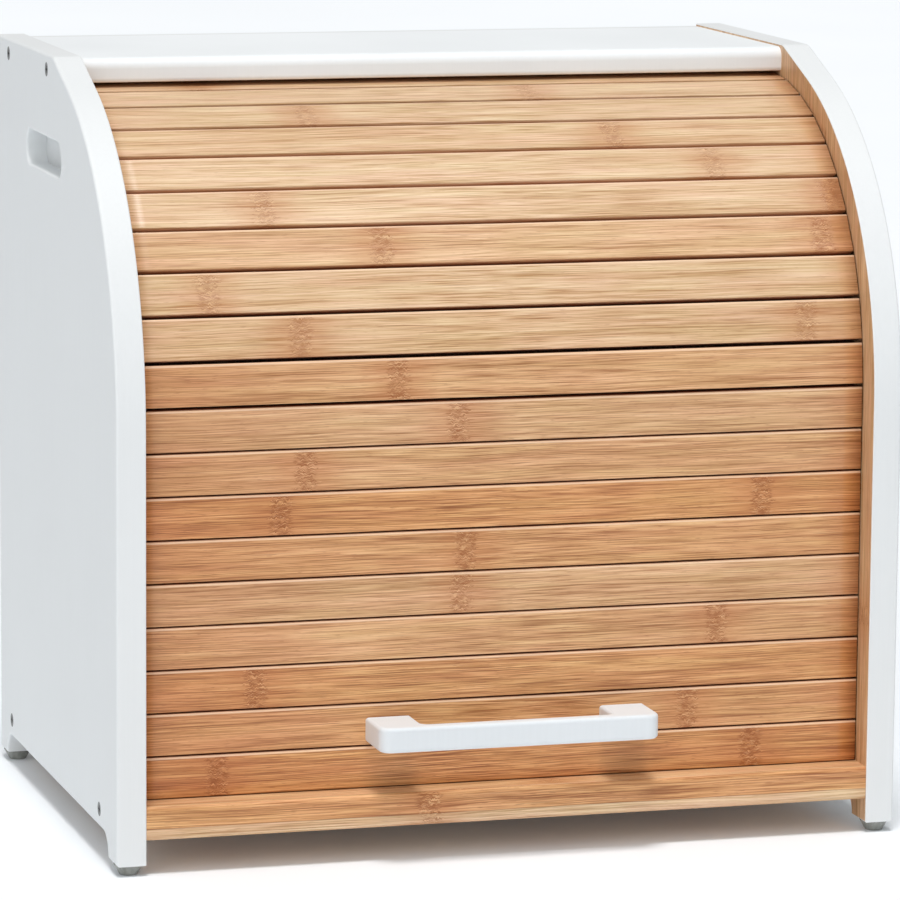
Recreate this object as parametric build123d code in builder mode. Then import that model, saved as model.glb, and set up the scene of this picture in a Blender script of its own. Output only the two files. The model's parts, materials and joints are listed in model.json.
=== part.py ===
"""Bread bin with a roll-up slatted door.

Two side panels stand on rubber feet and carry a base board, a top panel, a back panel and a
shelf. The door is a row of slats glued to a cloth backing. The tongues at the slats' ends run
in a groove in each side panel: up behind the front edge, over the top and down the back.

Frame: origin in the middle of the footprint, on the surface that the feet stand on.
+X is to the right seen from the front, +Y to the back, +Z up. Millimetres.
"""
import os
from math import atan2, cos, degrees, pi, radians, sin, tan

from build123d import *

os.makedirs("parts", exist_ok=True)

# ---- driving dimensions --------------------------------------------------------------------
case_width = 380.0
case_depth = 268.0
case_height = 361.0  # side panels, without the feet
panel_t = 14.0
foot_h = 5.0

# side panel outline: straight front, large front curve, straight slope, flat top
front_radius = 155.0
front_straight = 202.5  # height at which the front curve begins
front_turn = 69.5  # degrees of front curve before the slope
top_corner_r = 10.0
front_leg = 19.0
rear_leg = 15.0
arch_h = 10.8
outer_edge_r = 1.4
inner_edge_r = 0.7

# boards
base_z = 11.1  # underside of the base board, above the bottom of the legs
base_t = 16.1
base_front = 0.8  # set back from the front edge of the panels
base_low_edge_r = 3.0
base_high_edge_r = 2.0
top_front = 137.5
top_low_edge_r = 2.0
top_high_edge_r = 5.0
top_t = 11.8
top_drop = 1.3  # top panel sits this far below the top of the side panels
back_t = 6.0
rabbet = 7.0

# shelf on two battens
shelf_t = 9.0
shelf_z = 183.0
shelf_front = 38.0
shelf_back = 243.0
shelf_gap = 0.6  # free play at each side
shelf_edge_r = 2.0
batten = 12.0
batten_bevel = 3.0
batten_front = 46.0
batten_back = 236.0

# door
slat_count = 19
slat_pitch = 20.2
slat_h = 19.4
slat_t = 7.0
slat_end_gap = 0.5
slat_top_bevel = 0.8  # front edges of a slat
slat_bottom_bevel = 0.4
slat_back_top_bevel = 0.6  # back edges, which come together on the curve
slat_back_bottom_bevel = 1.0
slat_face_radius = 140.0  # front face of the slats on the front curve
rear_radius = 97.0  # cloth line on the rear curve
cloth_t = 0.6
cloth_h = 19.0
cloth_width = 340.0
door_rise = 4.0  # the door's front curve begins this far above the panels' curve
first_slat = -169.1  # middle of the lowest slat, along the cloth line from the front curve
tongue_t = 2.5
tongue_h = 5.0
tongue_reach = 4.9  # into the groove
groove_depth = 5.5
groove_in = 4.0  # groove wall inside the cloth line
groove_out = 7.0  # groove wall outside the cloth line
groove_end = 60.0  # lower end of the groove at the back

# handle on the second slat
handle_slat = 1
handle_width = 136.0
handle_h = 12.0
handle_drop = 2.4  # below the middle of its slat
handle_bar = 7.0
handle_foot = 21.6
handle_depth = 28.0
handle_corner_r = 6.0
handle_inner_r = 3.5
handle_edge_r = 1.8
handle_screw_x = 56.5

# grip pockets in the outer faces
grip_front = 118.0
grip_back = 198.0
grip_low = 304.5
grip_high = 321.5
grip_corner = 7.5
grip_depth = 10.0
grip_edge_r = 1.2

# rubber feet
foot_top_r = 6.9
foot_low_r = 4.2
foot_edge_r = 0.8
foot_inset = 7.5  # from the front and the back of the panels

# fasteners
screw_head_r = 3.4
screw_r = 2.0
side_screw_len = 38.0
dowel_r = 3.0
dowel_len = 28.0
dowel_in_panel = 9.0
back_screw_r = 1.5
back_screw_head_r = 2.8
back_screw_len = 18.0
batten_screw_len = 19.0
handle_screw_r = 1.75
handle_screw_len = 21.0
pan_head_r = 3.6
pan_head_h = 2.2
pan_slot = 0.9
pan_slot_depth = 1.3
cross_width = 0.28  # width of a countersunk head's cross, as a share of the head's radius
cross_depth = 0.8  # its depth, as a share of the head's height
hole_clearance = 0.05
hole_end_gap = 0.5  # beyond the end of a dowel
handle_hole_gap = 0.3  # beyond the end of a handle screw

# ---- places worked out from them -----------------------------------------------------------
inner_x = case_width / 2 - panel_t
outer_x = case_width / 2
slat_face = front_radius - slat_face_radius  # behind the front edge of the panels
handle_overhang = handle_depth - slat_face
front_y = handle_overhang - (case_depth + handle_overhang) / 2
back_y = front_y + case_depth
top_z = foot_h + case_height
arc_y = front_y + front_radius
arc_z = foot_h + front_straight
cloth_radius = slat_face_radius - slat_t - cloth_t / 2
door_arc_z = arc_z + door_rise
rear_arc_z = door_arc_z + cloth_radius - rear_radius
base_low = foot_h + base_z
base_high = base_low + base_t
base_mid = base_low + base_t / 2
top_high = top_z - top_drop
top_low = top_high - top_t
top_mid = top_high - top_t / 2
back_face = back_y - back_t
shelf_low = foot_h + shelf_z
groove_start = base_high - 1  # the base board closes the lower end

top_screw_y = [front_y + 150.0, front_y + 240.0]
base_screw_y = [front_y + 37.7, front_y + 240.0]
top_dowel_y = [front_y + 175.0, front_y + 217.0]
base_dowel_y = [front_y + 95.0, front_y + 185.0]
side_screws = [(y, top_mid) for y in top_screw_y] + [(y, base_mid) for y in base_screw_y]
dowels = [(y, top_mid) for y in top_dowel_y] + [(y, base_mid) for y in base_dowel_y]
back_screw_x = [-150.0, -50.0, 50.0, 150.0]
back_screws = [(x, z) for z in (base_mid, top_mid) for x in back_screw_x]
batten_screw_y = [front_y + 75.0, front_y + 207.0]


def cloth_line(distance):
    """Point and heading of the cloth, by the distance along it from the start of the curve.

    The heading is 0 where the door runs up, 90 degrees over the top, 180 degrees down the back.
    """
    front_arc = cloth_radius * pi / 2
    rear_arc = rear_radius * pi / 2
    if distance < 0:
        return arc_y - cloth_radius, door_arc_z + distance, 0.0
    if distance < front_arc:
        turn = distance / cloth_radius
        return arc_y - cloth_radius * cos(turn), door_arc_z + cloth_radius * sin(turn), turn
    turn = (distance - front_arc) / rear_radius
    if turn < pi / 2:
        y = arc_y + rear_radius * sin(turn)
        return y, rear_arc_z + rear_radius * cos(turn), pi / 2 + turn
    return arc_y + rear_radius, rear_arc_z - (distance - front_arc - rear_arc), pi


def slat_plane(number):
    """Section plane of a slat: local x runs along the door, local y towards its front face."""
    y, z, heading = cloth_line(first_slat + slat_pitch * number)
    return Plane(origin=(0, y, z), x_dir=(0, sin(heading), cos(heading)), z_dir=(1, 0, 0))


def outward(x, y, z):
    """Plane on a side face, facing away from the middle of the bin."""
    return Plane(origin=(x, y, z), z_dir=(1 if x > 0 else -1, 0, 0))


def save(builder, name):
    builder.part.label = name
    export_step(builder.part, f"parts/{name}.step")


# ---- side panels ---------------------------------------------------------------------------
slope_y = arc_y - front_radius * cos(radians(front_turn))
slope_z = arc_z + front_radius * sin(radians(front_turn))
flat_y = slope_y + (top_z - slope_z) * tan(radians(front_turn))

with BuildPart() as side_panel_right:
    with BuildSketch(Plane.YZ.offset(inner_x)):
        with BuildLine():
            Line((front_y, foot_h), (front_y, arc_z))
            CenterArc((arc_y, arc_z), front_radius, 180, -front_turn)
            Polyline((slope_y, slope_z), (flat_y, top_z), (back_y, top_z), (back_y, foot_h))
            Line((back_y, foot_h), (back_y - rear_leg, foot_h))
            CenterArc((back_y - rear_leg - arch_h, foot_h), arch_h, 0, 90)
            Line(
                (back_y - rear_leg - arch_h, foot_h + arch_h),
                (front_y + front_leg + arch_h, foot_h + arch_h),
            )
            CenterArc((front_y + front_leg + arch_h, foot_h), arch_h, 90, 90)
            Line((front_y + front_leg, foot_h), (front_y, foot_h))
        outline = make_face()
        fillet(outline.vertices().sort_by_distance((flat_y, top_z))[0], top_corner_r)
    extrude(amount=panel_t)
    fillet(faces().sort_by(Axis.X)[-1].edges(), outer_edge_r)
    fillet(faces().sort_by(Axis.X)[0].edges(), inner_edge_r)
    # door groove
    with BuildSketch(Plane.YZ.offset(inner_x)):
        with BuildLine():
            for wall in (groove_out, -groove_in):
                front_wall = arc_y - cloth_radius - wall
                rear_wall = arc_y + rear_radius + wall
                Line((front_wall, groove_start), (front_wall, door_arc_z))
                CenterArc((arc_y, door_arc_z), cloth_radius + wall, 180, -90)
                CenterArc((arc_y, rear_arc_z), rear_radius + wall, 90, -90)
                Line((rear_wall, rear_arc_z), (rear_wall, foot_h + groove_end))
            for y, z in (
                (arc_y - cloth_radius, groove_start),
                (arc_y + rear_radius, foot_h + groove_end),
            ):
                outwards = -1 if y < arc_y else 1
                Line((y + outwards * groove_out, z), (y - outwards * groove_in, z))
        make_face()
    extrude(amount=groove_depth, mode=Mode.SUBTRACT)
    # rabbet that takes the back panel
    with BuildSketch(Plane.YZ.offset(inner_x)):
        with Locations((back_y, base_low)):
            Rectangle(2 * back_t, top_high - base_low, align=(Align.CENTER, Align.MIN))
    extrude(amount=rabbet, mode=Mode.SUBTRACT)
    # grip pocket
    with BuildSketch(Plane.YZ.offset(outer_x)):
        with Locations((front_y + (grip_front + grip_back) / 2, foot_h + (grip_low + grip_high) / 2)):
            RectangleRounded(grip_back - grip_front, grip_high - grip_low, grip_corner)
    extrude(amount=-grip_depth, mode=Mode.SUBTRACT)
    pocket_mouth = edges().filter_by_position(Axis.X, outer_x - 0.01, outer_x + 0.01)
    fillet(
        pocket_mouth.filter_by_position(Axis.Z, foot_h + grip_low - 1, foot_h + grip_high + 1)
        .filter_by_position(Axis.Y, front_y + grip_front - 1, front_y + grip_back + 1),
        grip_edge_r,
    )
    # screws from outside, dowels from inside
    with Locations(*[outward(outer_x, y, z) for y, z in side_screws]):
        CounterSinkHole(screw_r, screw_head_r, depth=panel_t + 1, counter_sink_angle=90)
    with Locations(*[Plane(origin=(inner_x, y, z), z_dir=(-1, 0, 0)) for y, z in dowels]):
        Hole(dowel_r + hole_clearance, depth=dowel_in_panel + hole_end_gap)
    with Locations(
        *[Plane(origin=(inner_x, y, shelf_low - batten / 2), z_dir=(-1, 0, 0)) for y in batten_screw_y]
    ):
        Hole(screw_r, depth=batten_screw_len - batten)
save(side_panel_right, "side_panel_right")

with BuildPart() as side_panel_left:
    mirror(side_panel_right.part, about=Plane.YZ)
save(side_panel_left, "side_panel_left")

# ---- base board and top panel --------------------------------------------------------------
with BuildPart() as base_board:
    with BuildSketch(Plane.YZ):
        with BuildLine():
            Polyline(
                (front_y + base_front, base_low),
                (front_y + base_front, base_high),
                (back_face, base_high),
                (back_face, base_low),
                close=True,
            )
        make_face()
    extrude(amount=inner_x, both=True)
    front_edges = edges().filter_by(Axis.X).group_by(Axis.Y)[0]
    fillet(front_edges.sort_by(Axis.Z)[0], base_low_edge_r)
    fillet(edges().filter_by(Axis.X).group_by(Axis.Y)[0].sort_by(Axis.Z)[-1], base_high_edge_r)
    for side in (-1, 1):
        with Locations(*[outward(side * inner_x, y, base_mid) for y in base_screw_y]):
            Hole(screw_r, depth=side_screw_len - panel_t)
        with Locations(*[outward(side * inner_x, y, base_mid) for y in base_dowel_y]):
            Hole(dowel_r + hole_clearance, depth=dowel_len - dowel_in_panel + hole_end_gap)
    with Locations(*[Plane(origin=(x, back_face, base_mid), z_dir=(0, 1, 0)) for x in back_screw_x]):
        Hole(back_screw_r, depth=back_screw_len - back_t)
save(base_board, "base_board")

with BuildPart() as top_panel:
    with BuildSketch(Plane.YZ):
        with BuildLine():
            Polyline(
                (front_y + top_front, top_low),
                (front_y + top_front, top_high),
                (back_face, top_high),
                (back_face, top_low),
                close=True,
            )
        make_face()
    extrude(amount=inner_x, both=True)
    front_edges = edges().filter_by(Axis.X).group_by(Axis.Y)[0]
    fillet(front_edges.sort_by(Axis.Z)[-1], top_high_edge_r)
    fillet(edges().filter_by(Axis.X).group_by(Axis.Y)[0].sort_by(Axis.Z)[0], top_low_edge_r)
    for side in (-1, 1):
        with Locations(*[outward(side * inner_x, y, top_mid) for y in top_screw_y]):
            Hole(screw_r, depth=side_screw_len - panel_t)
        with Locations(*[outward(side * inner_x, y, top_mid) for y in top_dowel_y]):
            Hole(dowel_r + hole_clearance, depth=dowel_len - dowel_in_panel + hole_end_gap)
    with Locations(*[Plane(origin=(x, back_face, top_mid), z_dir=(0, 1, 0)) for x in back_screw_x]):
        Hole(back_screw_r, depth=back_screw_len - back_t)
save(top_panel, "top_panel")

# ---- back panel ----------------------------------------------------------------------------
with BuildPart() as back_panel:
    with BuildSketch(Plane.XZ.offset(-back_y)):
        with Locations((0, base_low)):
            Rectangle(2 * (inner_x + rabbet), top_high - base_low, align=(Align.CENTER, Align.MIN))
    extrude(amount=back_t)
    with Locations(*[Plane(origin=(x, back_y, z), z_dir=(0, 1, 0)) for x, z in back_screws]):
        CounterSinkHole(back_screw_r, back_screw_head_r, depth=back_t + 1, counter_sink_angle=90)
save(back_panel, "back_panel")

# ---- shelf and its battens -----------------------------------------------------------------
with BuildPart() as shelf:
    with BuildSketch(Plane.XY.offset(shelf_low)):
        with Locations((0, front_y + shelf_front)):
            Rectangle(
                2 * (inner_x - shelf_gap), shelf_back - shelf_front, align=(Align.CENTER, Align.MIN)
            )
    extrude(amount=shelf_t)
    fillet(edges().filter_by(Axis.X).group_by(Axis.Y)[0], shelf_edge_r)
save(shelf, "shelf")

with BuildPart() as shelf_batten_right:
    with BuildSketch(Plane.XY.offset(shelf_low - batten)):
        with Locations((inner_x, front_y + batten_front)):
            Rectangle(batten, batten_back - batten_front, align=(Align.MAX, Align.MIN))
    extrude(amount=batten)
    chamfer(edges().filter_by(Axis.Y).group_by(Axis.X)[0].sort_by(Axis.Z)[0], batten_bevel)
    head_planes = [
        Plane(origin=(inner_x - batten, y, shelf_low - batten / 2), z_dir=(-1, 0, 0))
        for y in batten_screw_y
    ]
    with Locations(*head_planes):
        CounterSinkHole(screw_r, screw_head_r, depth=batten + 1, counter_sink_angle=90)
save(shelf_batten_right, "shelf_batten_right")

with BuildPart() as shelf_batten_left:
    mirror(shelf_batten_right.part, about=Plane.YZ)
save(shelf_batten_left, "shelf_batten_left")


# ---- fasteners -----------------------------------------------------------------------------
def countersunk_screw(plane, shank_r, head_r, length):
    """Countersunk cross-head screw; the plane lies on its head and faces away from its point."""
    neck = head_r - shank_r
    slot = head_r * cross_width
    profile = Plane(origin=plane.origin, x_dir=plane.x_dir, z_dir=plane.y_dir)
    with BuildPart() as screw:
        with BuildSketch(profile):
            with BuildLine():
                Polyline(
                    (0, 0),
                    (head_r, 0),
                    (shank_r, neck),
                    (shank_r, length - 2 * shank_r),
                    (0, length),
                    close=True,
                )
            make_face()
        revolve(axis=Axis(plane.origin, plane.z_dir))
        with BuildSketch(plane):
            Rectangle(head_r, slot)
            Rectangle(slot, head_r)
        extrude(amount=-neck * cross_depth, mode=Mode.SUBTRACT)
    return screw.part


def fasteners(name, solids):
    """One node of identical, separate fasteners."""
    with BuildPart() as group:
        add(solids)
    save(group, name)


for side, word in ((1, "right"), (-1, "left")):
    fasteners(
        f"side_screws_{word}",
        [
            countersunk_screw(outward(side * outer_x, y, z), screw_r, screw_head_r, side_screw_len)
            for y, z in side_screws
        ],
    )
    with BuildPart() as dowel_group:
        dowel_end = inner_x + dowel_in_panel
        with BuildSketch(Plane.YZ.offset(side * dowel_end)):
            with Locations(*dowels):
                Circle(dowel_r)
        extrude(amount=-side * dowel_len)
    save(dowel_group, f"dowels_{word}")

fasteners(
    "back_screws",
    [
        countersunk_screw(
            Plane(origin=(x, back_y, z), z_dir=(0, 1, 0)), back_screw_r, back_screw_head_r, back_screw_len
        )
        for x, z in back_screws
    ],
)
fasteners(
    "batten_screws",
    [
        countersunk_screw(
            Plane(
                origin=(side * (inner_x - batten), y, shelf_low - batten / 2),
                z_dir=(-side, 0, 0),
            ),
            screw_r,
            screw_head_r,
            batten_screw_len,
        )
        for side in (-1, 1)
        for y in batten_screw_y
    ],
)

# ---- rubber feet ---------------------------------------------------------------------------
foot_y = {"front": front_y + foot_inset, "rear": back_y - foot_inset}
foot_taper = degrees(atan2(foot_top_r - foot_low_r, foot_h))
for side, word in ((1, "right"), (-1, "left")):
    for place, y in foot_y.items():
        with BuildPart() as foot:
            with BuildSketch(Plane.XY.offset(foot_h)):
                with Locations((side * (inner_x + panel_t / 2), y)):
                    Circle(foot_top_r)
            extrude(amount=-foot_h, taper=foot_taper)
            fillet(edges().sort_by(Axis.Z)[0], foot_edge_r)
        save(foot, f"foot_{place}_{word}")

# ---- door slats and cloth ------------------------------------------------------------------
half_h = slat_h / 2
slat_back = cloth_t / 2
slat_front = slat_back + slat_t
slat_section = [
    (-half_h + slat_bottom_bevel, slat_front),
    (half_h - slat_top_bevel, slat_front),
    (half_h, slat_front - slat_top_bevel),
    (half_h, slat_back + slat_back_top_bevel),
    (half_h - slat_back_top_bevel, slat_back),
    (-half_h + slat_back_bottom_bevel, slat_back),
    (-half_h, slat_back + slat_back_bottom_bevel),
    (-half_h, slat_front - slat_bottom_bevel),
]
handle_holes = [-handle_screw_x, handle_screw_x]


def handle_screw_holes(plane):
    """Sketch of the two screw holes on the back of the handle's slat."""
    with BuildSketch(Plane(origin=plane.origin, x_dir=(1, 0, 0), z_dir=plane.y_dir)) as holes:
        with Locations(*[(x, -handle_drop) for x in handle_holes]):
            Circle(handle_screw_r + hole_clearance)
    return holes.sketch


for number in range(slat_count):
    plane = slat_plane(number)
    with BuildPart() as slat:
        with BuildSketch(plane):
            with BuildLine():
                Polyline(*slat_section, close=True)
            make_face()
        extrude(amount=inner_x - slat_end_gap, both=True)
        with BuildSketch(plane):
            with Locations((0, slat_back)):
                Rectangle(tongue_h, tongue_t, align=(Align.CENTER, Align.MIN))
        extrude(amount=inner_x + tongue_reach, both=True)
        if number == handle_slat:
            extrude(handle_screw_holes(plane), amount=slat_front + 1, mode=Mode.SUBTRACT)
    save(slat, f"slat_{number:02d}")
    with BuildPart() as cloth:
        with BuildSketch(plane):
            Rectangle(cloth_h, cloth_t)
        extrude(amount=cloth_width / 2, both=True)
        if number == handle_slat:
            extrude(handle_screw_holes(plane), amount=cloth_t, both=True, mode=Mode.SUBTRACT)
    save(cloth, f"door_cloth_{number:02d}")

# ---- handle --------------------------------------------------------------------------------
handle_z = door_arc_z + first_slat + slat_pitch * handle_slat - handle_drop
handle_back = front_y + slat_face
bar_front = handle_back - handle_depth
bar_back = bar_front + handle_bar
half_handle = handle_width / 2

with BuildPart() as handle:
    with BuildSketch(Plane.XY.offset(handle_z - handle_h / 2)):
        with BuildLine():
            Polyline(
                (-half_handle, handle_back),
                (-half_handle, bar_front),
                (half_handle, bar_front),
                (half_handle, handle_back),
                (half_handle - handle_foot, handle_back),
                (half_handle - handle_foot, bar_back),
                (-half_handle + handle_foot, bar_back),
                (-half_handle + handle_foot, handle_back),
                close=True,
            )
        plan = make_face()
        fillet(plan.vertices().group_by(Axis.Y)[0], handle_corner_r)
        fillet(vertices().filter_by_position(Axis.Y, bar_back - 0.1, bar_back + 0.1), handle_inner_r)
    extrude(amount=handle_h)
    fillet(faces().sort_by(Axis.Z)[-1].edges(), handle_edge_r)
    fillet(faces().sort_by(Axis.Z)[0].edges(), handle_edge_r)
    with Locations(*[Plane(origin=(x, handle_back, handle_z), z_dir=(0, 1, 0)) for x in handle_holes]):
        Hole(handle_screw_r, depth=handle_screw_len - slat_t - cloth_t + handle_hole_gap)
save(handle, "handle")

cloth_face = handle_back + slat_t + cloth_t
with BuildPart() as handle_screws:
    for x in handle_holes:
        with BuildSketch(Plane.XZ.offset(-cloth_face)):
            with Locations((x, handle_z)):
                Circle(handle_screw_r)
        extrude(amount=handle_screw_len)
        with BuildSketch(Plane.XZ.offset(-cloth_face)):
            with Locations((x, handle_z)):
                Circle(pan_head_r)
        extrude(amount=-pan_head_h)
        with BuildSketch(Plane.XZ.offset(-cloth_face - pan_head_h)):
            with Locations((x, handle_z)):
                Rectangle(pan_head_r, pan_slot)
                Rectangle(pan_slot, pan_head_r)
        extrude(amount=pan_slot_depth, mode=Mode.SUBTRACT)
save(handle_screws, "handle_screws")
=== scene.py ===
"""Bread bin with a roll-up bamboo door: looks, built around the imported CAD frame."""
import json
from math import cos, pi, radians, sin

import bmesh
import bpy
import numpy as np
from mathutils import Matrix, Vector, noise


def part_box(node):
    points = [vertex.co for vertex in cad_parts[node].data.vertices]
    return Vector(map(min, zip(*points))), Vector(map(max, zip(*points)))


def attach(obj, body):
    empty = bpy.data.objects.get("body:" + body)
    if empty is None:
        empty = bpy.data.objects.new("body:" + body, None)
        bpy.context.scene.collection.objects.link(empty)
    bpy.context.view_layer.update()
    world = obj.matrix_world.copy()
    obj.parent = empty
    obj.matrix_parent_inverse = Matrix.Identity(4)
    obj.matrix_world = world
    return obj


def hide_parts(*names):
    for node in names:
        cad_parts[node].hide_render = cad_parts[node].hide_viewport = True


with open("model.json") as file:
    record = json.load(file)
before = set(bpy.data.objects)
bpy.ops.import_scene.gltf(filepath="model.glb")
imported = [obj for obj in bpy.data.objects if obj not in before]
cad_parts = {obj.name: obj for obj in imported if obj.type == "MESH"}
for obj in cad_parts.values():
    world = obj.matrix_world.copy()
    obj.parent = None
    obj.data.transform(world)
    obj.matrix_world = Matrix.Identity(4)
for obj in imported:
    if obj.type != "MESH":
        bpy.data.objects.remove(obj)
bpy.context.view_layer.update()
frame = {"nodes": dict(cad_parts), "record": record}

nodes = frame["nodes"]
MM = 0.001

# ---- places and sizes, from the frame ------------------------------------------------------
slat_names = sorted(n for n in nodes if n.startswith("slat_"))
panel_low, panel_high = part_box("side_panel_right")
inner_x = panel_low.x
base_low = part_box("base_board")[0]
groove_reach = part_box("slat_00")[1].x - inner_x
body_of = {n: b for b, names in frame["record"]["behaviour"]["bodies"].items() for n in names}

SLAT_GAP = 0.5 * MM  # between a slat's shoulder and the side panel
SLAT_T = 7.0 * MM
SLAT_H = 19.2 * MM  # at the back
SLAT_FRONT_H = 19.35 * MM
FRONT_LOW_R = 0.4 * MM  # rounding of a slat's edges
FRONT_HIGH_R = 1.0 * MM
BACK_HIGH_R = 0.7 * MM
BACK_LOW_R = 1.2 * MM
SUPPORT = 0.2 * MM  # from a rounding to the point that keeps the flat beside it flat
SLAT_STATIONS = 37
SLAT_WAVER = 0.06 * MM
GRAIN_STEP = 0.37  # from one slat's grain to the next one's
NO_KNOT = 900  # mm, far past the end of a slat
TONGUE_H = 5.0 * MM
TONGUE_T = 2.5 * MM
TONGUE_R = 0.4 * MM
TONGUE_ROOT = 1 * MM  # how far a tongue starts inside its slat
CLOTH_T = 0.6 * MM
CLOTH_GAP = 0.02 * MM  # from a slat's back to its cloth
CLOTH_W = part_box("door_cloth_00")[1].x * 2
CLOTH_HALF = 9.75 * MM
CLOTH_ROWS = 9
CLOTH_STATIONS = 69
CLOTH_RIPPLE = 0.05 * MM
WEAVE_STEP = 0.0202  # from one strip's weave to the next one's
GROOVE_DEPTH = 5.6 * MM
LAMINATION = 5.6 * MM  # lower lamination of the base board

# bamboo nodes along each slat in mm from the middle, lowest slat first, as on the real door
KNOTS = [
    (-139, 122), (90,), (-121,), (104,), (-22,), (-20,), (-109, 126), (-97,), (-24,), (-53,),
    (-99, 148), (-141,), (-56, 161), (-109, 169), (115,), (70,), (-76,), (40,), (-120,),
]
# how light each slat's bamboo is, lowest first; partly each strip's own tone and partly painted light:
# the upper slats, which face up on the curve, are paler, and the lowest one, shaded by the handle, is
# darker
TONES_AND_LIGHT = [
    0.05, 0.20, 0.12, 0.35, 0.50, 0.22, 0.08, 0.36, 0.50, 0.42,
    0.80, 0.92, 0.72, 0.95, 1.0, 0.95, 1.0, 0.95, 0.9,
]


# ---- node helpers --------------------------------------------------------------------------
class Shader:
    """Builds one material's node tree."""

    def __init__(self, name):
        self.material = bpy.data.materials.new(name)
        self.material.use_nodes = True
        self.tree = self.material.node_tree
        self.surface = self.tree.nodes["Principled BSDF"]

    def node(self, kind, inputs=(), **settings):
        made = self.tree.nodes.new(kind)
        for key, value in settings.items():
            setattr(made, key, value)
        for key, value in dict(inputs).items():
            self.feed(made.inputs[key], value)
        return made

    def feed(self, socket, value):
        if isinstance(value, bpy.types.NodeSocket):
            self.tree.links.new(value, socket)
        else:
            socket.default_value = value

    def math(self, operation, a, b=0.0):
        return self.node("ShaderNodeMath", {0: a, 1: b}, operation=operation).outputs[0]

    def scaled(self, vector, scale):
        return self.node(
            "ShaderNodeVectorMath", {0: vector, 1: scale}, operation="MULTIPLY"
        ).outputs[0]

    def joined(self, x, y, z):
        return self.node("ShaderNodeCombineXYZ", {"X": x, "Y": y, "Z": z}).outputs[0]

    def split(self, vector):
        return self.node("ShaderNodeSeparateXYZ", {"Vector": vector}).outputs

    def noise(self, vector, detail=2.0, roughness=0.5):
        """Noise of scale 1, so that the vector carries the size of the pattern."""
        inputs = {"Vector": vector, "Scale": 1.0, "Detail": detail, "Roughness": roughness}
        return self.node("ShaderNodeTexNoise", inputs).outputs["Fac"]

    def random(self, value):
        made = self.node("ShaderNodeTexWhiteNoise", {"W": value}, noise_dimensions="1D")
        return made.outputs["Value"]

    def span(self, value, low, high, to_low=0.0, to_high=1.0, smooth=False):
        """Maps low..high to to_low..to_high, held at both ends."""
        return self.node(
            "ShaderNodeMapRange",
            {
                "Value": value,
                "From Min": low,
                "From Max": high,
                "To Min": to_low,
                "To Max": to_high,
            },
            interpolation_type="SMOOTHSTEP" if smooth else "LINEAR",
        ).outputs["Result"]

    def ramp(self, factor, stops):
        made = self.node("ShaderNodeValToRGB", {"Fac": factor})
        elements = made.color_ramp.elements
        while len(elements) < len(stops):
            elements.new(0.5)
        for element, (position, colour) in zip(elements, stops):
            element.position = position
            element.color = (*linear(colour), 1.0)
        return made.outputs["Color"]

    def mix(self, factor, a, b, blend="MIX"):
        """Mixes two colours, each a socket or a tuple of sRGB values from 0 to 255."""
        made = self.node("ShaderNodeMix", data_type="RGBA", blend_type=blend)
        self.feed(made.inputs[0], factor)
        self.feed(made.inputs[6], (*linear(a), 1.0) if isinstance(a, tuple) else a)
        self.feed(made.inputs[7], (*linear(b), 1.0) if isinstance(b, tuple) else b)
        return made.outputs[2]

    def bump(self, height, distance):
        made = self.node("ShaderNodeBump", {"Height": height, "Distance": distance, "Strength": 1.0})
        self.tree.links.new(made.outputs["Normal"], self.surface.inputs["Normal"])

    def finish(self, **constants):
        """Sets the shader's own sockets, named with _ for a space, and returns the material."""
        for key, value in constants.items():
            self.feed(self.surface.inputs[key.replace("_", " ")], value)
        return self.material


def linear(colour):
    """Linear values of an sRGB colour given as 0 to 255."""
    return tuple(
        (c / 255 / 12.92) if c <= 10 else ((c / 255 + 0.055) / 1.055) ** 2.4 for c in colour
    )


# ---- bamboo --------------------------------------------------------------------------------
ORANGE = ((148, 86, 40), (200, 138, 82), (223, 164, 107), (242, 192, 136))
PALE = ((184, 142, 98), (217, 184, 148), (229, 200, 170), (242, 219, 190))
RAMP_STOPS = (0.0, 0.36, 0.64, 1.0)
DARK_FIBRE = (140, 74, 30)
NODE_STAIN = (186, 110, 56)
NODE_LIGHT = (244, 206, 156)
NODE_DARK = (152, 84, 30)
GLUE_LINE = (120, 72, 38)
# painted highlight along the top rounding of each slat
TOP_EDGE_HIGHLIGHT = (250, 218, 186)
FIBRE_DEPTH = 0.00005
NODE_GAP = 0.23  # between two nodes of one strip of a board
LACQUER = {"Roughness": 0.42, "Coat_Weight": 0.12, "Coat_Roughness": 0.3}


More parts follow.
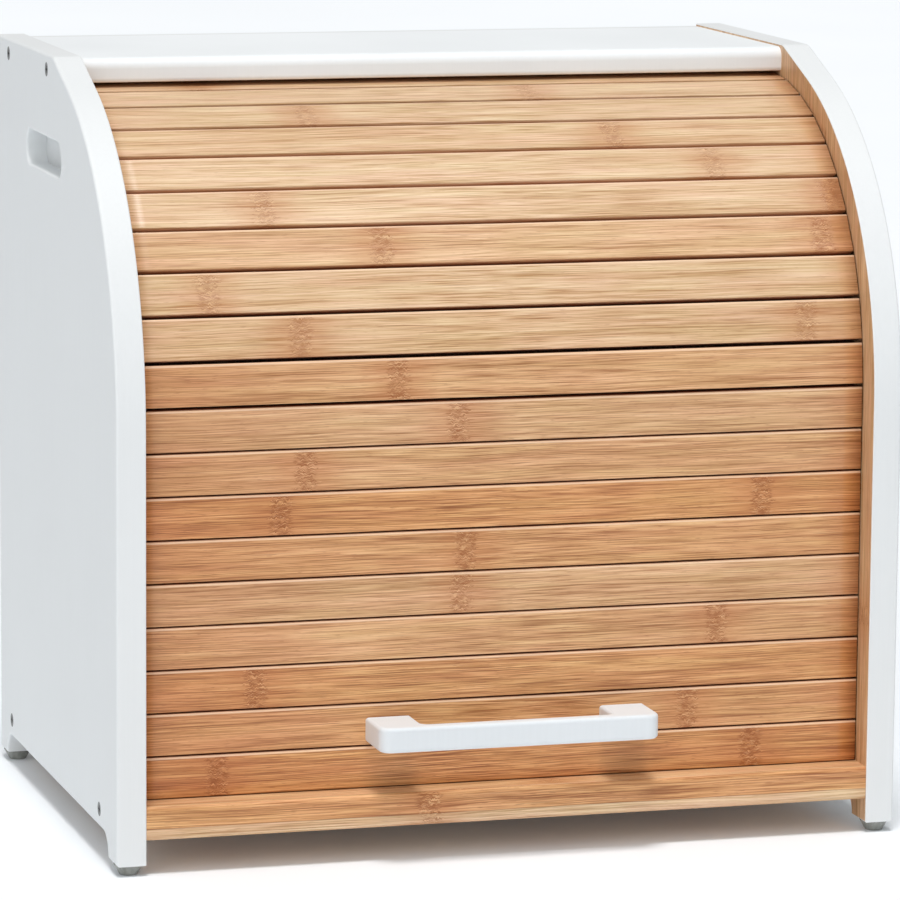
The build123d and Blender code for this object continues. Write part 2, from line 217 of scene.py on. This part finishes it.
def bamboo_colour(shader, along, across, depth, tone, knot_distance):
    """Fibres along the strip, a mottled band at each node, and the strip's lightness (on the slats
    partly painted light).
    """

    def streaks(length, width, detail=2.0, roughness=0.55):
        place = shader.joined(
            shader.math("MULTIPLY", along, 1 / length),
            shader.math("MULTIPLY", across, 1 / width),
            shader.math("MULTIPLY", depth, 1 / width),
        )
        return shader.noise(place, detail, roughness)

    def centred(value, size):
        return shader.math("MULTIPLY", shader.math("SUBTRACT", value, 0.5), size)

    # the node's band has a ragged outline, and a fainter stain round it
    ragged = shader.math("ADD", knot_distance, centred(streaks(0.008, 0.0013, 2.0, 0.6), 0.012))
    band = shader.span(ragged, 0.0068, 0.0030, smooth=True)
    stain_and_gap_shade = shader.span(ragged, 0.024, 0.004, smooth=True)
    # fibres wander slowly, and zigzag sharply through the node
    across = shader.math("ADD", across, centred(streaks(0.11, 0.05, 1.0), 0.003))
    zigzag = centred(streaks(0.0013, 0.0030, 1.0), 0.0030)
    across = shader.math("ADD", across, shader.math("MULTIPLY", zigzag, band))

    broad = streaks(0.16, 0.0045, 2.0)
    fibre = streaks(0.045, 0.0008, 2.0, 0.6)
    fine = streaks(0.020, 0.00040, 1.0)
    broad_and_fibre = shader.math(
        "ADD", shader.math("MULTIPLY", broad, 0.30), shader.math("MULTIPLY", fibre, 0.40)
    )
    value = shader.math("ADD", broad_and_fibre, shader.math("MULTIPLY", fine, 0.30))
    value = shader.span(value, 0.38, 0.64)
    orange = shader.ramp(value, list(zip(RAMP_STOPS, ORANGE)))
    pale = shader.ramp(value, list(zip(RAMP_STOPS, PALE)))
    colour = shader.mix(tone, orange, pale)
    # wide patches that lean to yellow or to pink
    patch = shader.span(streaks(0.07, 0.007, 2.0), 0.35, 0.65)
    leaning = shader.ramp(patch, [(0.0, (255, 242, 232)), (1.0, (250, 250, 226))])
    colour = shader.mix(0.6, colour, leaning, "MULTIPLY")
    # thin dark fibres, some long and some short
    long_hair = shader.span(streaks(0.034, 0.00050, 1.0), 0.58, 0.66)
    short_hair = shader.span(streaks(0.0065, 0.00040, 1.0), 0.64, 0.72)
    hair = shader.math("MAXIMUM", long_hair, short_hair)
    hair_strength = shader.span(tone, 0.0, 1.0, 0.54, 0.28)
    colour = shader.mix(shader.math("MULTIPLY", hair, hair_strength), colour, DARK_FIBRE)
    # the node: stained, then scribbled with dark and light marks
    colour = shader.mix(shader.math("MULTIPLY", stain_and_gap_shade, 0.30), colour, NODE_STAIN)
    marks = streaks(0.0046, 0.00052, 2.0, 0.6)
    dark_marks = shader.math("MULTIPLY", shader.span(marks, 0.47, 0.55), band)
    light_marks = shader.math("MULTIPLY", shader.span(marks, 0.42, 0.34), band)
    mark_strength = shader.span(tone, 0.0, 1.0, 0.86, 0.38)
    colour = shader.mix(shader.math("MULTIPLY", light_marks, 0.45), colour, NODE_LIGHT)
    colour = shader.mix(shader.math("MULTIPLY", dark_marks, mark_strength), colour, NODE_DARK)
    height = shader.math("SUBTRACT", fibre, shader.math("MULTIPLY", dark_marks, 0.8))
    return colour, height


def slat_bamboo():
    """Bamboo of the slats: place from the UV map; nodes, tone (partly painted light), a painted
    highlight and painted shade from attributes.
    """
    shader = Shader("slat_bamboo")
    along, across, _ = shader.split(shader.node("ShaderNodeUVMap", uv_map="strip").outputs["UV"])

    def attribute(name):
        return shader.node("ShaderNodeAttribute", attribute_name=name).outputs["Fac"]

    def distance(name):
        return shader.math("ABSOLUTE", shader.math("SUBTRACT", along, attribute(name)))

    knot = shader.math("MINIMUM", distance("knot_a"), distance("knot_b"))
    colour, height = bamboo_colour(shader, along, across, 0.0, attribute("tone"), knot)
    # painted shade: both ends are a little darker and redder, where the side panels shade them (the
    # left end only on the lower slats); a painted highlight makes the top edge lighter
    left_end_shade = shader.span(along, 0.10 - inner_x, -inner_x)
    left_end_shade = shader.math("MULTIPLY", left_end_shade, shader.span(attribute("tone"), 0.5, 0.8, 1.0, 0.0))
    right_end_shade = shader.span(along, inner_x - 0.022, inner_x)
    colour = shader.mix(left_end_shade, colour, (242, 226, 216), "MULTIPLY")
    colour = shader.mix(right_end_shade, colour, (236, 216, 200), "MULTIPLY")
    colour = shader.mix(shader.math("MULTIPLY", attribute("edge_highlight"), 0.6), colour, TOP_EDGE_HIGHLIGHT)
    # painted shade: the faces between two slats are darkened red-brown, as the gaps between them lie in
    # shade
    stain_and_gap_shade = shader.mix(attribute("tone"), (146, 58, 30), (196, 122, 78))
    colour = shader.mix(attribute("gap_shade"), colour, stain_and_gap_shade)
    shader.bump(height, FIBRE_DEPTH)
    return shader.finish(Base_Color=colour, **LACQUER)


def board_bamboo(name, along_axis, across_axis, strip, tone, seed=0.0, seam_at=None):
    """Bamboo board glued from strips: along_axis is the grain, across_axis counts the strips.

    With seam_at, the strips are two laminations that meet at that place on the across axis, the
    lower one paler than the upper one.
    """
    shader = Shader(name)
    place = shader.split(shader.node("ShaderNodeTexCoord").outputs["Object"])
    depth_axis = 3 - along_axis - across_axis
    along, across, depth = place[along_axis], place[across_axis], place[depth_axis]
    if seam_at is None:
        strips = shader.math("ADD", shader.math("MULTIPLY", across, 1 / strip), seed)
    else:
        strips = shader.math("MULTIPLY", shader.math("SUBTRACT", across, seam_at), 1 / strip)
    number = shader.math("FLOOR", strips)
    chance = shader.random(number)
    other = shader.random(shader.math("ADD", number, 57.3))
    start = shader.math("MULTIPLY", other, 7.0)
    turns = shader.math("ADD", shader.math("MULTIPLY", along, 1 / NODE_GAP), start)
    cycle = shader.math("SUBTRACT", shader.math("FRACT", turns), 0.5)
    knot = shader.math("MULTIPLY", shader.math("ABSOLUTE", cycle), NODE_GAP)
    shifted = shader.math("ADD", across, shader.math("MULTIPLY", chance, 3.0))
    pick = chance if seam_at is None else shader.math("LESS_THAN", across, seam_at)
    lightness = shader.span(pick, 0.0, 1.0, tone[0], tone[1])
    colour, height = bamboo_colour(shader, along, shifted, depth, lightness, knot)
    # glue line between strips
    edge = shader.math("ABSOLUTE", shader.math("SUBTRACT", shader.math("FRACT", strips), 0.5))
    seam = shader.span(edge, 0.488, 0.5)
    colour = shader.mix(shader.math("MULTIPLY", seam, 0.35), colour, GLUE_LINE)
    shader.bump(height, FIBRE_DEPTH)
    return shader.finish(Base_Color=colour, **LACQUER)


# ---- paint, metal, rubber, cloth -----------------------------------------------------------
def white_paint(name, cool=0, painted_light_lift=0):
    """Satin white paint over bamboo: a trace of the grain and faint mottling. The lift that raises all
    three channels is painted light, for a face lit from above.
    """
    shader = Shader(name)
    place = shader.node("ShaderNodeTexCoord").outputs["Object"]
    cloud = shader.noise(shader.scaled(place, (9, 9, 6)), 3.0)
    grain = shader.noise(shader.scaled(place, (800, 800, 14)), 2.0)
    peel = shader.noise(shader.scaled(place, (420, 420, 420)), 2.0)
    shade = shader.math("ADD", shader.math("MULTIPLY", cloud, 0.7), shader.math("MULTIPLY", grain, 0.3))
    light = (231 - cool + painted_light_lift, 234 + painted_light_lift, 235 + cool + painted_light_lift)
    colour = shader.ramp(shade, [(0.3, tuple(c - 5 for c in light)), (0.7, light)])
    rough = shader.span(cloud, 0.3, 0.7, 0.48, 0.56)
    height = shader.math("ADD", shader.math("MULTIPLY", peel, 0.5), shader.math("MULTIPLY", grain, 0.5))
    shader.bump(height, 0.00002)
    return shader.finish(Base_Color=colour, Roughness=rough)


def screw_metal():
    """Dull zinc-plated steel, slightly blotchy."""
    shader = Shader("screw_metal")
    place = shader.node("ShaderNodeTexCoord").outputs["Object"]
    blotch = shader.noise(shader.scaled(place, (600, 600, 600)), 3.0)
    colour = shader.ramp(blotch, [(0.3, (84, 84, 84)), (0.7, (126, 126, 124))])
    rough = shader.span(blotch, 0.3, 0.7, 0.30, 0.48)
    return shader.finish(Base_Color=colour, Roughness=rough, Metallic=0.9)


def foot_rubber():
    """Translucent grey polyurethane bumper."""
    shader = Shader("foot_rubber")
    place = shader.node("ShaderNodeTexCoord").outputs["Object"]
    haze = shader.noise(shader.scaled(place, (500, 500, 300)), 2.0)
    colour = shader.ramp(haze, [(0.3, (150, 152, 146)), (0.7, (176, 178, 172))])
    shader.bump(haze, 0.00003)
    return shader.finish(Base_Color=colour, Roughness=0.22, Transmission_Weight=0.35, IOR=1.48)


def dowel_wood():
    """Pale fluted birch."""
    shader = Shader("dowel_wood")
    place = shader.node("ShaderNodeTexCoord").outputs["Object"]
    grain = shader.noise(shader.scaled(place, (40, 900, 900)), 3.0)
    colour = shader.ramp(grain, [(0.3, (205, 172, 128)), (0.7, (226, 198, 156))])
    shader.bump(grain, 0.00005)
    return shader.finish(Base_Color=colour, Roughness=0.6)


THREAD_PAIR = 0.0009  # one thread over and one under


def woven_cloth():
    """Plain-weave cotton of the door's backing."""
    shader = Shader("woven_cloth")
    u, v, _ = shader.split(shader.node("ShaderNodeUVMap", uv_map="strip").outputs["UV"])
    threads = 2 * pi / THREAD_PAIR

    def wave(value):
        return shader.math("SINE", shader.math("MULTIPLY", value, threads))

    weave = shader.math("MULTIPLY", wave(u), wave(v))
    stretched = shader.joined(shader.math("MULTIPLY", u, 60), shader.math("MULTIPLY", v, 900), 0.0)
    slub = shader.noise(stretched, 3.0)
    tone = shader.math("ADD", shader.math("MULTIPLY", weave, 0.18), slub)
    colour = shader.ramp(tone, [(0.25, (104, 62, 42)), (0.75, (140, 92, 64))])
    shader.bump(weave, 0.00012)
    return shader.finish(Base_Color=colour, Roughness=0.9, Sheen_Weight=0.15)


# ---- slats ---------------------------------------------------------------------------------
def slat_plane(name):
    """Middle of the slat's back face, its heading and its outward direction, from the CAD mesh.

    The two faces with the largest area are the front and the back; the front one looks away
    from the inside of the bin.
    """
    mesh = nodes[name].data
    area = {}
    for polygon in mesh.polygons:
        key = tuple(round(c, 3) for c in polygon.normal)
        area[key] = area.get(key, 0.0) + polygon.area
    normal = Vector(max(area, key=area.get))
    inside = Vector((0, (panel_low.y + panel_high.y) / 2 + 0.02, panel_high.z / 2 + 0.02))
    low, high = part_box(name)
    centre = (low + high) / 2
    if normal.dot(centre - inside) < 0:
        normal = -normal
    normal.normalize()
    heading = Vector((1, 0, 0)).cross(normal)
    heading = -heading if heading.z < 0 or (abs(heading.z) < 0.05 and heading.y < 0) else heading
    reach = [normal.dot(v.co) for v in mesh.vertices]
    rise = [heading.dot(v.co) for v in mesh.vertices]
    back = normal * min(reach) + heading * (min(rise) + max(rise)) / 2
    return back, heading, normal


def rounded_profile(corners, steps=3):
    """Corners are (along, out, radius); returns the outline with rounded corners.

    A point just outside each rounding keeps the flat sides flat under smooth shading.
    """
    outline = []
    count = len(corners)
    for i, (a, n, r) in enumerate(corners):
        here = Vector((a, n))
        before = (Vector(corners[i - 1][:2]) - here).normalized()
        after = (Vector(corners[(i + 1) % count][:2]) - here).normalized()
        bend = [
            here + before * r * (1 - t) ** 2 + after * r * t**2 for t in np.linspace(0, 1, steps + 1)
        ]
        edge = [here + before * (r + SUPPORT), *bend, here + after * (r + SUPPORT)]
        outline += [(point.x, point.y) for point in edge]
    return outline


def strip_mesh(name, profile, stations, place, offset, marks=None):
    """Closed strip: the profile repeated at each x station, with a UV map in metres.

    marks gives point attributes as {name: one value for each profile point}.
    """
    mesh = bpy.data.meshes.new(name)
    build = bmesh.new()
    uv = build.loops.layers.uv.new("strip")
    rings = []
    for x in stations:
        rings.append([build.verts.new(place(x, a, n)) for a, n in profile])
    lengths = [0.0]
    for (a0, n0), (a1, n1) in zip(profile, profile[1:] + profile[:1]):
        lengths.append(lengths[-1] + ((a1 - a0) ** 2 + (n1 - n0) ** 2) ** 0.5)
    size = len(profile)
    for (x0, ring0), (x1, ring1) in zip(zip(stations, rings), zip(stations[1:], rings[1:])):
        for k in range(size):
            j = (k + 1) % size
            face = build.faces.new((ring0[k], ring1[k], ring1[j], ring0[j]))
            for loop, value in zip(
                face.loops,
                ((x0, lengths[k]), (x1, lengths[k]), (x1, lengths[k + 1]), (x0, lengths[k + 1])),
            ):
                loop[uv].uv = (value[0], value[1] + offset)
            face.smooth = True
    for ring, x in ((rings[0], stations[0]), (rings[-1], stations[-1])):
        face = build.faces.new(ring)
        for loop, (a, n) in zip(face.loops, profile):
            loop[uv].uv = (x + n * 0.3, a + offset)
    bmesh.ops.recalc_face_normals(build, faces=build.faces)
    build.to_mesh(mesh)
    build.free()
    for key, values in (marks or {}).items():
        data = mesh.attributes.new(key, "FLOAT", "POINT").data
        data.foreach_set("value", list(values) * len(stations))
    return mesh


def make_slat(number, name, material):
    """Slat with eased edges, a slightly uneven hand-finished face and a tongue at each end."""
    back, heading, normal = slat_plane(name)
    half = SLAT_H / 2
    front_half = SLAT_FRONT_H / 2

    def place(x, a, n):
        waver = noise.noise(Vector((x * 14, a * 120 + number * 7.7, n * 90))) * SLAT_WAVER
        return back + Vector((x, 0, 0)) + heading * (a + waver) + normal * n

    body = rounded_profile(
        [
            (-front_half, SLAT_T, FRONT_LOW_R),
            (front_half, SLAT_T, FRONT_HIGH_R),
            (half, 0.0, BACK_HIGH_R),
            (-half, 0.0, BACK_LOW_R),
        ]
    )
    shoulder = inner_x - SLAT_GAP
    stations = [float(x) for x in np.linspace(-shoulder, shoulder, SLAT_STATIONS)]
    # painted highlight on the front face's top rounding, where light catches the edge
    highlight_n, highlight_a = SLAT_T - 1.1 * MM, half - 1.0 * MM
    # painted shade on the sides and back of each slat, inside the gaps between slats
    gap_shade_n = SLAT_T - 1.15 * MM
    marks = {
        "edge_highlight": [1.0 if n > highlight_n and a > highlight_a else 0.0 for a, n in body],
        "gap_shade": [1.0 if n < gap_shade_n else 0.0 for _, n in body],
    }
    mesh = strip_mesh(name + "_shell", body, stations, place, number * GRAIN_STEP, marks)
    slat = bpy.data.objects.new(name + "_bamboo", mesh)
    bpy.context.scene.collection.objects.link(slat)

    tongue = rounded_profile(
        [
            (-TONGUE_H / 2, TONGUE_T, TONGUE_R),
            (TONGUE_H / 2, TONGUE_T, TONGUE_R),
            (TONGUE_H / 2, 0.0, TONGUE_R),
            (-TONGUE_H / 2, 0.0, TONGUE_R),
        ],
        steps=1,
    )
    for side in (-1, 1):
        ends = sorted((side * (shoulder - TONGUE_ROOT), side * (inner_x + groove_reach)))
        part = strip_mesh(name + "_tongue", tongue, ends, place, number * GRAIN_STEP)
        piece = bpy.data.objects.new(name + "_tongue", part)
        bpy.context.scene.collection.objects.link(piece)
        both = [slat, piece]
        with bpy.context.temp_override(
            active_object=slat, selected_editable_objects=both, selected_objects=both
        ):
            bpy.ops.object.join()

    knots = KNOTS[number]
    values = {
        "knot_a": knots[0] * MM,
        "knot_b": (knots[1] if len(knots) > 1 else NO_KNOT) * MM,
        "tone": TONES_AND_LIGHT[number],
    }
    for key, value in values.items():
        data = slat.data.attributes.new(key, "FLOAT", "POINT").data
        data.foreach_set("value", [value] * len(slat.data.vertices))
    slat.data.materials.append(material)
    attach(slat, body_of[name])
    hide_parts(name)


def make_cloth(number, name, material):
    """The strip of backing cloth behind one slat, woven and very slightly uneven."""
    back, heading, normal = slat_plane(f"slat_{number:02d}")

    def place(x, a, n):
        # only the free side ripples, the glued side stays flat
        ripple = noise.noise(Vector((x * 60, a * 200, number * 3.1))) * CLOTH_RIPPLE
        out = n - (0.0 if n > -CLOTH_T / 2 else ripple)
        return back + Vector((x, 0, 0)) + heading * a + normal * out

    across = [CLOTH_HALF * (2 * k / (CLOTH_ROWS - 1) - 1) for k in range(CLOTH_ROWS)]
    profile = [(a, -CLOTH_GAP) for a in across] + [(a, -CLOTH_T) for a in reversed(across)]
    stations = [float(x) for x in np.linspace(-CLOTH_W / 2, CLOTH_W / 2, CLOTH_STATIONS)]
    mesh = strip_mesh(name + "_weave", profile, stations, place, number * WEAVE_STEP)
    cloth = bpy.data.objects.new(name + "_weave", mesh)
    bpy.context.scene.collection.objects.link(cloth)
    cloth.data.materials.append(material)
    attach(cloth, body_of[name])
    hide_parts(name)


# ---- CAD nodes with better materials -------------------------------------------------------
def dress(name, materials, choose=None):
    """Gives a CAD node its materials; choose(mesh, polygon) picks the slot of each face."""
    mesh = nodes[name].data
    mesh.materials.clear()
    for material in materials:
        mesh.materials.append(material)
    for polygon in mesh.polygons:
        polygon.material_index = choose(mesh, polygon) if choose else 0


def inner_side(mesh, polygon):
    """1 on the inner face of a side panel and in its groove, 0 on the painted faces."""
    reach = max(abs(mesh.vertices[i].co.x) for i in polygon.vertices)
    flat = reach < inner_x + 0.05 * MM
    groove = inner_x + 1 * MM < reach < inner_x + GROOVE_DEPTH
    faces_out = polygon.normal.x * polygon.center.x > 0.5 * abs(polygon.center.x)
    return 1 if flat or (groove and not faces_out) else 0


# ---- build ---------------------------------------------------------------------------------
paint = white_paint("white_paint")
# painted light: the top panel's paint is made lighter, as light falls on it from above
top_paint_lit = white_paint("top_paint_lit", cool=1, painted_light_lift=12)
handle_paint = white_paint("handle_paint", cool=3)
metal = screw_metal()
slat_material = slat_bamboo()
cloth_material = woven_cloth()
side_bamboo = board_bamboo("side_bamboo", 2, 1, 0.024, (0.6, 0.85), 0.3)
seam_z = base_low.z + LAMINATION
base_bamboo = board_bamboo("base_bamboo", 0, 2, 0.030, (0.15, 0.85), seam_at=seam_z)
back_bamboo = board_bamboo("back_bamboo", 2, 0, 0.020, (0.4, 0.8), 0.6)
shelf_bamboo = board_bamboo("shelf_bamboo", 0, 1, 0.020, (0.4, 0.8), 0.2)

for side in ("left", "right"):
    dress(f"side_panel_{side}", [paint, side_bamboo], inner_side)
    dress(f"side_screws_{side}", [metal])
    dress(f"dowels_{side}", [dowel_wood()])
    dress(f"shelf_batten_{side}", [shelf_bamboo])
    for end in ("front", "rear"):
        dress(f"foot_{end}_{side}", [foot_rubber()])
dress("top_panel", [top_paint_lit, shelf_bamboo], lambda _, face: int(face.normal.z < -0.9))
dress("back_panel", [paint, back_bamboo], lambda _, face: int(face.normal.y < -0.5))
dress("base_board", [base_bamboo, shelf_bamboo], lambda _, face: int(abs(face.normal.z) > 0.9))
dress("shelf", [shelf_bamboo])
dress("handle", [handle_paint])
for name in ("back_screws", "batten_screws", "handle_screws"):
    dress(name, [metal])
for number, name in enumerate(slat_names):
    make_slat(number, name, slat_material)
    make_cloth(number, f"door_cloth_{number:02d}", cloth_material)


# ---- studio --------------------------------------------------------------------------------
def floor():
    """Plain pale floor, far larger than the view."""
    shader = Shader("studio_floor")
    place = shader.node("ShaderNodeTexCoord").outputs["Object"]
    cloud = shader.noise(shader.scaled(place, (1.5, 1.5, 1.5)), 2.0)
    colour = shader.ramp(cloud, [(0.3, (243, 246, 249)), (0.7, (246, 249, 252))])
    # painted light: the floor glows faintly blue, which lifts and cools the shadows cast on it
    material = shader.finish(
        Base_Color=colour, Roughness=0.7, Emission_Color=(0.7, 0.95, 1.1, 1.0), Emission_Strength=0.03
    )
    mesh = bpy.data.meshes.new("studio_floor")
    reach = 14.0  # from the middle to an edge
    corners = [(-reach, -reach, 0), (reach, -reach, 0), (reach, reach, 0), (-reach, reach, 0)]
    mesh.from_pydata(corners, [], [(0, 1, 2, 3)])
    mesh.materials.append(material)
    made = bpy.data.objects.new("studio_floor", mesh)
    bpy.context.scene.collection.objects.link(made)


def lamp(name, kind, location, target, energy, **settings):
    """White light at location that points at target."""
    data = bpy.data.lights.new(name, kind)
    data.energy = energy
    for key, value in settings.items():
        setattr(data, key, value)
    made = bpy.data.objects.new(name, data)
    made.location = location
    made.rotation_euler = (Vector(target) - Vector(location)).to_track_quat("-Z", "Y").to_euler()
    bpy.context.scene.collection.objects.link(made)


def camera(location, yaw, pitch, roll, lens):
    """Camera that looks along +Y, turned right by yaw, down by pitch and rolled by roll."""
    forward = Vector((sin(yaw) * cos(pitch), cos(yaw) * cos(pitch), -sin(pitch)))
    level = Vector((cos(yaw), -sin(yaw), 0))
    upright = level.cross(forward)
    right = level * cos(roll) + upright * sin(roll)
    up = upright * cos(roll) - level * sin(roll)
    data = bpy.data.cameras.new("camera")
    data.lens = lens
    data.sensor_width = 36.0
    data.clip_end = 60.0
    made = bpy.data.objects.new("camera", data)
    turn = Matrix((right, up, -forward)).transposed().to_4x4()
    made.matrix_world = Matrix.Translation(location) @ turn
    bpy.context.scene.collection.objects.link(made)
    bpy.context.scene.camera = made


floor()
world = bpy.data.worlds.new("studio")
world.use_nodes = True
sky = world.node_tree.nodes["Background"]
sky.inputs["Color"].default_value = (1.0, 0.99, 0.985, 1.0)
sky.inputs["Strength"].default_value = 0.37
bpy.context.scene.world = world
lamp("top_sun", "SUN", (-0.16, -0.42, 2.2), (0, 0, 0), 1.85, angle=radians(14))
lamp("wide_sun", "SUN", (-0.8, -1.6, 2.0), (0, 0, 0), 0.55, angle=radians(60))
softbox = {"shape": "RECTANGLE", "size": 1.8, "size_y": 1.8}
lamp("front_softbox", "AREA", (-1.6, -2.4, 1.2), (0, 0, 0.2), 8.0, **softbox)
bpy.context.scene.view_settings.view_transform = "Standard"
eye = Vector((-0.7041, panel_low.y - 2.2974, 0.5809))
camera(eye, yaw=radians(16.296), pitch=radians(9.198), roll=radians(0.477), lens=210.2)
